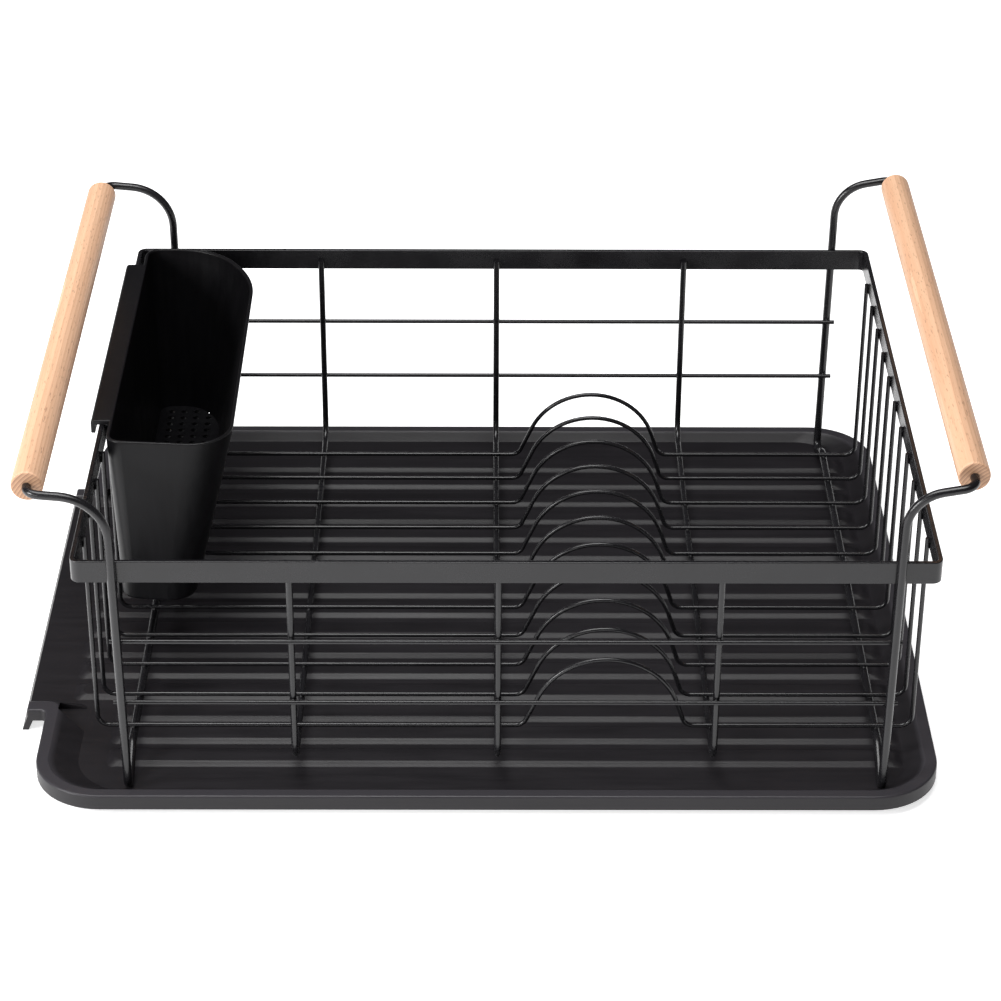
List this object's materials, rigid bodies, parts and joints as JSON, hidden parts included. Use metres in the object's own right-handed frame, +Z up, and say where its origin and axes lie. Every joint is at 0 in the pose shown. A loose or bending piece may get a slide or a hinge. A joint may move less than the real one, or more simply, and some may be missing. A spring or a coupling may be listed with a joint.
{
  "type": "dish drying rack",
  "caption": "Black wire dish basket with plate arches, turned wooden grips, a hook-on cutlery cup and a ribbed drip tray with a drain spout.",
  "frame": {"origin": "centre of the basket, on the surface the tray's pads stand on", "axes": "+Z up, +X to the right along the basket with the drain spout on the left, +Y to the rear"},
  "size_m": [0.4917, 0.3865, 0.1964],
  "materials": {
    "black_coating": "fine satin powder coat",
    "tray_plastic": "satin moulded plastic",
    "cup_plastic": "fine matt moulded plastic",
    "beech": "smooth sanded, thin clear oil"
  },
  "bodies": {
    "tray": {"drip_tray": "tray_plastic"},
    "basket": {"rim_band": "black_coating", "left_end_frame": "black_coating", "right_end_frame": "black_coating", "mid_frame_1": "black_coating", "mid_frame_2": "black_coating", "mid_frame_3": "black_coating", "front_rail_upper": "black_coating", "front_rail_lower": "black_coating", "rear_rail_upper": "black_coating", "rear_rail_lower": "black_coating", "plate_wire_01": "black_coating", "plate_wire_02": "black_coating", "plate_wire_03": "black_coating", "plate_wire_04": "black_coating", "plate_wire_05": "black_coating", "plate_wire_06": "black_coating", "plate_wire_07": "black_coating", "plate_wire_08": "black_coating", "plate_wire_09": "black_coating", "plate_wire_10": "black_coating", "plate_wire_11": "black_coating"},
    "cup": {"cutlery_holder": "cup_plastic"},
    "left_handle": {"left_grip": "beech"},
    "right_handle": {"right_grip": "beech"}
  },
  "joints": [
    {"name": "basket_lift", "type": "slide", "parent": "tray", "child": "basket", "axis": [0, 0, 1], "range_m": [0, 0.06]},
    {"name": "cup_lift", "type": "slide", "parent": "basket", "child": "cup", "axis": [0, 0, 1], "range_m": [0, 0.12]},
    {"name": "left_grip_turn", "type": "hinge", "parent": "basket", "child": "left_handle", "pos_m": [-0.2331, 0, 0.1838], "axis": [0, 1, 0], "continuous": true},
    {"name": "right_grip_turn", "type": "hinge", "parent": "basket", "child": "right_handle", "pos_m": [0.2272, 0, 0.1884], "axis": [0, 1, 0], "continuous": true}
  ]
}
